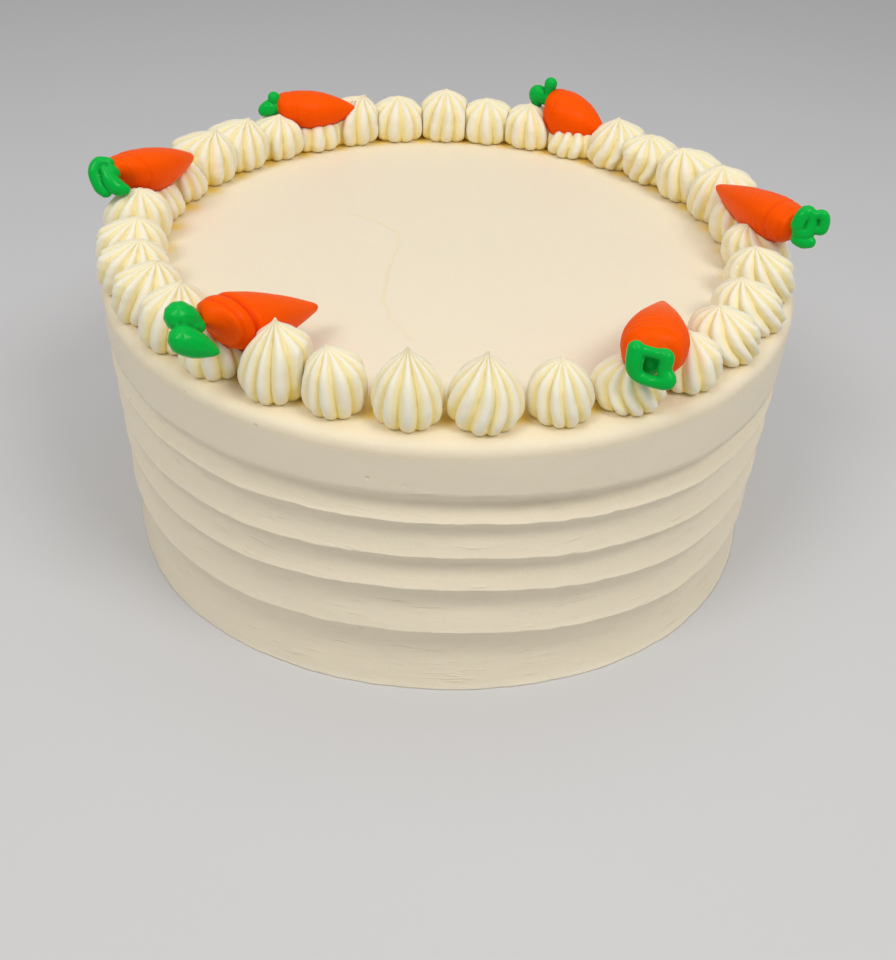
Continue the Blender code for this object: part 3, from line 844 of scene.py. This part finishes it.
def kiss_tree(material):
    """The tree that rolls a sheet up into a kiss, from the middle of its foot to its tip."""
    tree, given = shape_tree(
        "piped_kiss",
        {
            "Foot": Vector, "Before": Vector, "After": Vector, "Across": Vector, "Lean": Vector,
            "Flick": float, "Shoulder": float, "Height": float, "Radius": float, "Bluntness": float,
            "Twist": float, "Start": float, "Seed": float, "Resting": bpy.types.Object,
        },
    )
    radius, blunt, seed = Number(given["Radius"]), Number(given["Bluntness"]), Number(given["Seed"])
    shape, turn, row = sheet(tree, KISS_RIDGES * POINTS_A_RIDGE, KISS_FOOT_ROWS + KISS_ROWS)
    out = stretch(row, 0, KISS_FOOT_ROWS)
    rise = stretch(row, KISS_FOOT_ROWS, KISS_ROWS).on_curve(ROWS_UP_A_KISS)
    pointed = rise.on_curve(POINTED_KISS)
    wide = pointed + (rise.on_curve(DOMED_KISS) - pointed) * blunt

    # Round it: ridges with rounded backs and sharp grooves, no two quite alike.
    warped = turn + (turn * 3.0 + seed * 5.0).calc("SINE") * RIDGES_VARY
    ridge = (warped * (KISS_RIDGES / 2)).calc("COSINE").calc("ABSOLUTE")
    groove = (1.0 - ridge) ** GROOVE_SHARPNESS
    flat = point(turn.calc("COSINE") * 0.01 + seed, turn.calc("SINE") * 0.01, rise * 0.02)
    deep = (wide * 2.0).calc("MINIMUM", 1.0) * (lumps(flat, GROOVE_VARIES_OVER) * 0.9 + 1.0)
    deep = deep * KISS_GROOVE * (rise * 3.0 + 0.45).held()
    angle = turn + Number(given["Start"])
    bulge = (angle.calc("COSINE") * Number(given["Shoulder"])).held() * rise.on_curve(KISS_BULGE) + 1.0
    uneven = lumps(flat, KISS_LUMPS) * (wide * 3.0).calc("MINIMUM", 1.0) * KISS_LUMP_DEPTH
    reach = radius * (wide * bulge - groove * deep + uneven) * out
    angle = angle + Number(given["Twist"]) * rise.on_curve(KISS_TWIST)

    # Up it: the middle leans, and the tip flicks over where the nozzle pulled away.
    foot_x, foot_y, foot_z = parts(given["Foot"])
    lean_x, lean_y, _ = parts(given["Lean"])
    long_x, long_y, _ = parts(given["Across"])
    tip = ((rise - TIP_FROM) / (1 - TIP_FROM)).held() ** 2.0 * Number(given["Flick"])
    reach_x, reach_y = reach * angle.calc("COSINE"), reach * angle.calc("SINE")
    longer = reach_x * long_x + reach_y * long_y
    drawn = rise ** LEAN_CURVE
    x = foot_x + reach_x + long_x * longer + lean_x * drawn + tip
    y = foot_y + reach_y + long_y * longer + lean_y * drawn
    z = foot_z + Number(given["Height"]) * rise

    # Its neighbours flatten its sides.
    squeezed = rise * 0.0
    for wall in ("Before", "After"):
        wall_x, wall_y, _ = parts(given[wall])
        over = x * wall_x + y * wall_y + KISS_GAP / 2
        squeezed = squeezed + (over / SQUEEZE_SHADE + 1.0).held()
        over = over.calc("SMOOTH_MAX", 0.0, SQUEEZE_SOFTNESS)
        x, y = x - wall_x * over, y - wall_y * over

    # What rests on it presses it down.
    resting = add(tree, "GeometryNodeObjectInfo", given["Resting"]).outputs["Geometry"]
    ray = add(tree, "GeometryNodeRaycast")
    fill(ray.inputs["Target Geometry"], resting)
    fill(ray.inputs["Source Position"], point(x, y, foot_z + LOOK_UP_FROM))
    fill(ray.inputs["Ray Direction"], (0, 0, 1))
    fill(ray.inputs["Ray Length"], LOOK_UP_FAR)
    _, _, hanging = parts(ray.outputs["Hit Position"])
    pressed = z.calc("MINIMUM", hanging - CARROT_GAP)
    z = z + (pressed - z) * Number(ray.outputs["Is Hit"])

    # Painted shade: the grooves are painted golden, and so is the foot, most where it meets the next kiss.
    low = (1.0 - rise * 3.0).held()
    shade_mark = (groove * (1.0 - rise * 0.4) + low * low * 0.3 + squeezed * low * 0.9).held()
    close_up(tree, shape, point(x, y, z), {"groove": shade_mark}, material, weld=TIP_WELD)
    return tree


def kiss_solid(number):
    """Where a kiss's solid stands, its radius round the cake, and its highest point."""
    places = [vertex.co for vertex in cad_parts[f"kiss_{number:02d}"].data.vertices]
    lowest = min(place.z for place in places)
    foot = [place for place in places if place.z < lowest + 0.0001]
    middle = sum(foot, Vector()) / len(foot)
    around = Vector((-middle.y, middle.x, 0)).normalized()
    radius = max(abs((place - middle).dot(around)) for place in foot) / SOLID_FOOT_SHARE
    return middle, radius, max(places, key=lambda place: place.z)


def sideways(angle, turn):
    """An upright plane's direction, facing out of the kiss, through the cake's axis."""
    return Vector((-math.sin(angle) * turn, math.cos(angle) * turn, 0))


carrots = bpy.data.objects.new("carrots_together", bpy.data.meshes.new("carrots_together"))
builder = bmesh.new()
for piece in roots + leaves:
    builder.from_mesh(piece.data)
builder.to_mesh(carrots.data)
builder.free()
bpy.context.scene.collection.objects.link(carrots)

solids = [kiss_solid(number + 1) for number in range(len(KISS_LOOKS))]
angles = [math.atan2(foot.y, foot.x) for foot, _, _ in solids]
piped_kiss = kiss_tree(piped_icing)
for number, ((foot, radius, top), angle, looks) in enumerate(zip(solids, angles, KISS_LOOKS)):
    twist, first_ridge, blunt, flick, shoulder = looks
    before, after = angles[number - 1], angles[(number + 1) % len(angles)]
    half_before = ((before - angle) % math.tau) / 2
    half_after = ((angle - after) % math.tau) / 2
    height = top.z - CAKE_HEIGHT
    pressed = height < LEAST_HEIGHT
    lean = Vector((0, 0, 0)) if pressed else Vector((top.x - foot.x, top.y - foot.y, 0))
    outwards = Vector((math.cos(angle), math.sin(angle), 0))
    kiss = made_by(piped_kiss, f"piped_kiss_{number + 1:02d}", {
        "Foot": Vector((foot.x, foot.y, CAKE_HEIGHT - KISS_SINK)),
        "Before": sideways(angle + half_before, 1),
        "After": sideways(angle - half_after, -1),
        "Across": outwards * math.sqrt(KISS_STRETCH) * abs(math.cos(angle)),
        "Lean": lean,
        "Flick": flick * 0.001,
        "Shoulder": shoulder,
        "Height": max(height, LEAST_HEIGHT) + KISS_SINK,
        "Radius": radius * (1 + FULLER_AT_BACK * max(0.0, math.sin(angle))),
        "Bluntness": blunt,
        "Twist": math.radians(twist),
        "Start": math.radians(first_ridge),
        "Seed": float(number),
        "Resting": carrots,
    })
    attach(kiss, "root")
    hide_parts(f"kiss_{number + 1:02d}")
bpy.data.objects.remove(carrots)


# ------------------------------------------------------------------------------------------------
# The place it is shown in: a plain pale floor under soft studio light, and the camera a little above
# the cake, looking down on its front edge.
# ------------------------------------------------------------------------------------------------

FLOOR_SIZE = 6.0
EYE = Vector((0.0, -0.3462, 0.2708))
LOOK_DOWN = math.radians(39.02)
LOOK_ASIDE = math.radians(0.57)
CAMERA_ROLL = math.radians(2.64)
LENS = 38.28
SENSOR = 36.0


def plain_floor():
    """A pale matt floor with a faint unevenness of tone."""
    material = bpy.data.materials.new("pale_floor")
    material.use_nodes = True
    tree = material.node_tree
    shader = tree.nodes["Principled BSDF"]
    tone = lumps(add(tree, "ShaderNodeTexCoord").outputs["Object"], 0.4) * 0.03 + 0.62
    colour = add(tree, "ShaderNodeCombineColor", tone, tone, tone * 1.02)
    fill(shader.inputs["Base Color"], colour.outputs[0])
    shader.inputs["Roughness"].default_value = 0.75
    half = FLOOR_SIZE / 2
    mesh = bpy.data.meshes.new("floor")
    corners = [(-half, -half, 0), (half, -half, 0), (half, half, 0), (-half, half, 0)]
    mesh.from_pydata(corners, [], [(0, 1, 2, 3)])
    mesh.materials.append(material)
    floor = bpy.data.objects.new("floor", mesh)
    bpy.context.scene.collection.objects.link(floor)
    return floor


def soft_light(name, place, aim, size, power, colour):
    """A round soft light of this size in metres and power in watts, turned towards its aim."""
    light = bpy.data.lights.new(name, "AREA")
    light.shape = "DISK"
    light.size = size
    light.energy = power
    light.color = colour
    thing = bpy.data.objects.new(name, light)
    thing.location = place
    thing.rotation_euler = (Vector(aim) - Vector(place)).to_track_quat("-Z", "Y").to_euler()
    bpy.context.scene.collection.objects.link(thing)


plain_floor()
soft_light("overhead", (0.0, 0.1, 1.05), (0, 0, 0.08), 0.8, 1.7, (1.0, 0.985, 0.96))
soft_light("from_the_left", (-0.54, -0.56, 1.06), (0, 0, 0.06), 0.5, 4.3, (1.0, 0.98, 0.95))
soft_light("from_the_right", (0.58, -0.50, 1.08), (0, 0, 0.06), 0.5, 5.2, (1.0, 0.98, 0.95))

world = bpy.data.worlds.new("soft_room")
world.use_nodes = True
world.node_tree.nodes["Background"].inputs["Color"].default_value = (1.0, 1.0, 1.0, 1.0)
world.node_tree.nodes["Background"].inputs["Strength"].default_value = 0.38
bpy.context.scene.world = world
bpy.context.scene.view_settings.view_transform = "Standard"

ahead = Vector((math.sin(LOOK_ASIDE), math.cos(LOOK_ASIDE), 0)) * math.cos(LOOK_DOWN)
ahead.z = -math.sin(LOOK_DOWN)
level = Vector((math.cos(LOOK_ASIDE), -math.sin(LOOK_ASIDE), 0))
above = level.cross(ahead)
right = math.cos(CAMERA_ROLL) * level + math.sin(CAMERA_ROLL) * above
upright = math.cos(CAMERA_ROLL) * above - math.sin(CAMERA_ROLL) * level
camera = bpy.data.objects.new("camera", bpy.data.cameras.new("camera"))
bpy.context.scene.collection.objects.link(camera)
camera.matrix_world = Matrix.Translation(EYE) @ Matrix((right, upright, -ahead)).transposed().to_4x4()
camera.data.lens = LENS
camera.data.sensor_width = SENSOR
camera.data.clip_start = 0.01
bpy.context.scene.camera = camera
